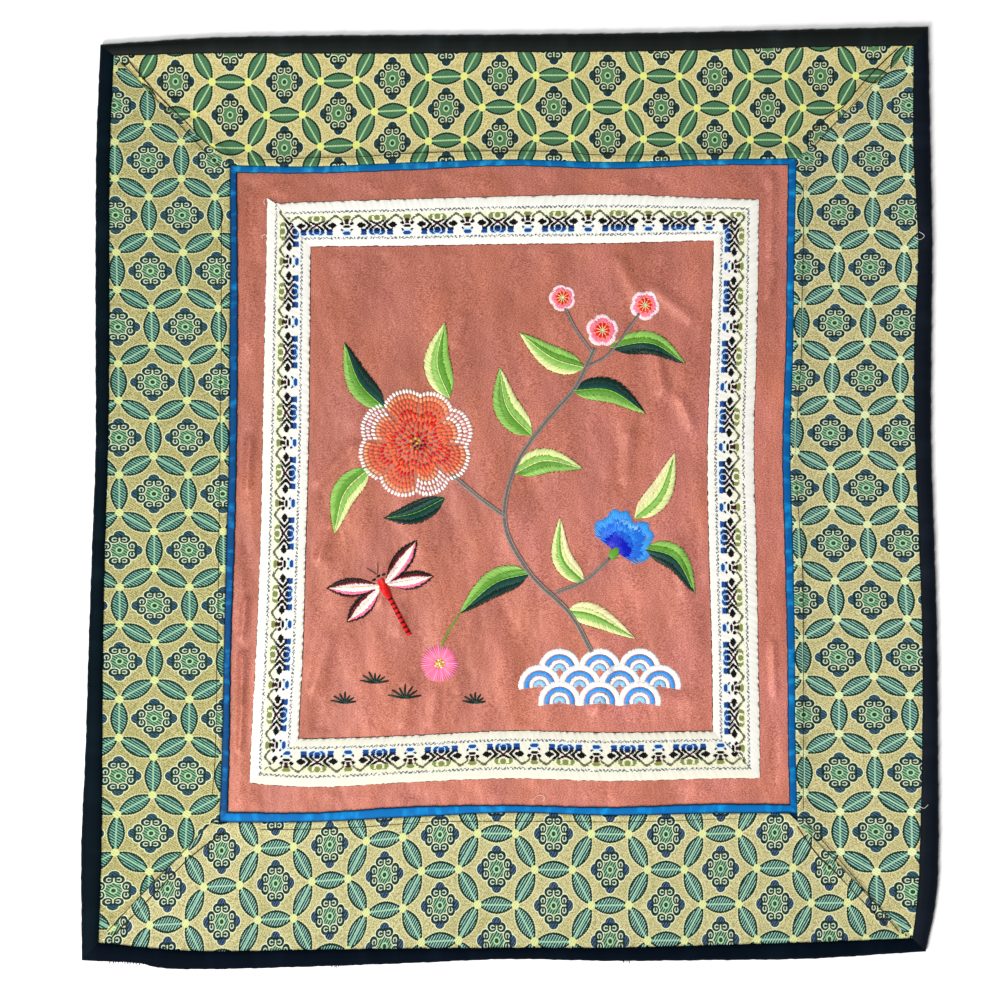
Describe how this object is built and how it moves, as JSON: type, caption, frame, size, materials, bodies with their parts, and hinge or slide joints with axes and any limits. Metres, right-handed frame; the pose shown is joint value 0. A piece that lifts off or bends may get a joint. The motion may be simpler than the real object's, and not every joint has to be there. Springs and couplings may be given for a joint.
{
  "type": "embroidered silk panel",
  "caption": "Flat embroidered silk panel: satin field with a woven ribbon frame, blue piping, mitred brocade borders and a folded black binding.",
  "frame": {"origin": "middle of the outline, on the underside that rests on the surface", "axes": "+X to the right across the panel, +Y towards its top edge, +Z out of the embroidered face"},
  "size_m": [0.3427, 0.3766, 0.0038],
  "materials": {
    "satin_field": "rose silk satin, soft sheen",
    "brocade_border": "figured gold and green brocade",
    "blue_piping": "bright blue satin fold",
    "woven_ribbon": "white jacquard ribbon, matt",
    "black_binding": "black satin, folded over the edge",
    "embroidery_thread": "floss silk stitches, glossy",
    "sewing_thread": "fine dark sewing thread"
  },
  "bodies": {
    "root": {"field": "satin_field", "brocade_top": "brocade_border", "piping_top": "blue_piping", "ribbon_top": "woven_ribbon", "binding_top": "black_binding", "brocade_bottom": "brocade_border", "piping_bottom": "blue_piping", "ribbon_bottom": "woven_ribbon", "binding_bottom": "black_binding", "brocade_left": "brocade_border", "piping_left": "blue_piping", "ribbon_left": "woven_ribbon", "binding_left": "black_binding", "brocade_right": "brocade_border", "piping_right": "blue_piping", "ribbon_right": "woven_ribbon", "binding_right": "black_binding"}
  },
  "joints": []
}
